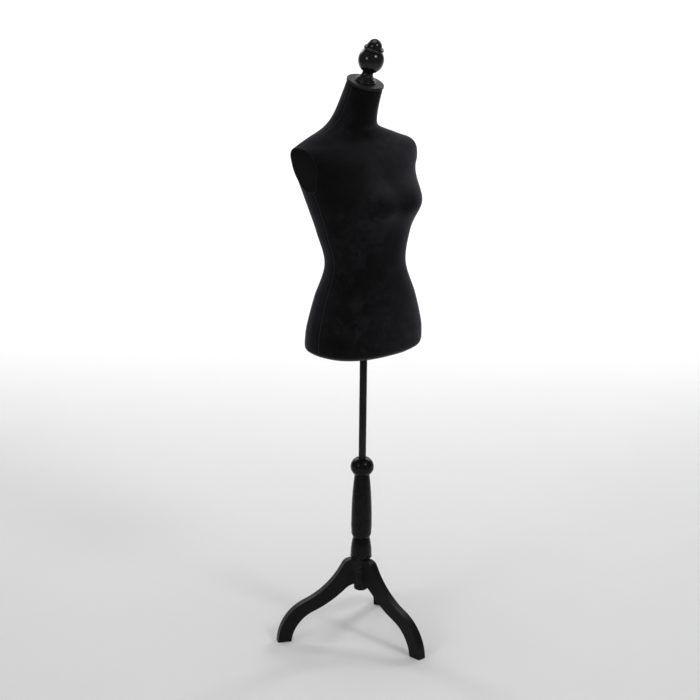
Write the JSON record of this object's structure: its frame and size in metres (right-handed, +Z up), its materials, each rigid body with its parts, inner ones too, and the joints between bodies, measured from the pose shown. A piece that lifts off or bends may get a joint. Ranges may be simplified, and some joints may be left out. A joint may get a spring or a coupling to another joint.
{
  "type": "dress form mannequin",
  "caption": "Velvet-covered headless female torso form with a turned neck finial, on a sliding pole and a turned wooden column with three curved feet.",
  "frame": {"origin": "on the floor, under the middle of the object's bounding box", "axes": "+Z up along the pole, -Y the way the torso faces, +X the torso's own left"},
  "size_m": [0.4162, 0.3627, 1.6227],
  "materials": {
    "lacquered_wood": "satin",
    "gloss_lacquer": "gloss",
    "coated_steel": "satin",
    "velvet": "matte",
    "arm_plate": "satin",
    "shell_plastic": "matte",
    "bare_wood": "matte",
    "zinc_steel": "satin",
    "black_steel": "satin",
    "black_board": "matte",
    "brass": "satin",
    "nylon": "satin",
    "knob_plastic": "satin"
  },
  "bodies": {
    "stand": {"column": "lacquered_wood", "guide_sleeve": "nylon", "hub": "lacquered_wood", "clamp_insert": "brass", "leg_front": "lacquered_wood", "leg_left": "lacquered_wood", "leg_right": "lacquered_wood", "hub_stud": "zinc_steel", "leg_bolts": "black_steel", "leg_barrel_nuts": "zinc_steel", "leg_dowels": "bare_wood"},
    "pole": {"pole": "coated_steel", "pole_top_plug": "nylon", "pole_bottom_plug": "nylon"},
    "torso": {"torso_shell": "shell_plastic", "velvet_front": "velvet", "velvet_back": "velvet", "arm_plate_left": "arm_plate", "arm_plate_right": "arm_plate", "base_board": "black_board", "neck_plug": "bare_wood", "neck_cap": "gloss_lacquer", "neck_moulding": "gloss_lacquer", "finial": "gloss_lacquer", "finial_stud": "zinc_steel", "cap_screws": "zinc_steel", "socket_tube": "coated_steel", "thrust_pad": "nylon", "flange_screws": "zinc_steel"},
    "clamp_pad": {"clamp_pad": "nylon"},
    "clamp_knob": {"clamp_screw": "zinc_steel", "clamp_knob": "knob_plastic"}
  },
  "joints": [
    {"name": "height_slide", "type": "slide", "parent": "stand", "child": "pole", "axis": [0, 0, 1], "range_m": [-0.145, 0.04]},
    {"name": "torso_swivel", "type": "hinge", "parent": "pole", "child": "torso", "pos_m": [0, 0.05, 0.94], "axis": [0, 0, 1], "continuous": true},
    {"name": "clamp_travel", "type": "slide", "parent": "stand", "child": "clamp_pad", "axis": [0.866, 0.5, 0], "range_m": [0, 0.0025]},
    {"name": "clamp_turn", "type": "hinge", "parent": "clamp_pad", "child": "clamp_knob", "pos_m": [0, 0.05, 0.485], "axis": [0.866, 0.5, 0], "range_deg": [0, 720]}
  ],
  "couplings": [
    {"joint": "clamp_turn", "follows": "clamp_travel", "rad_per_m": 5026.5}
  ]
}
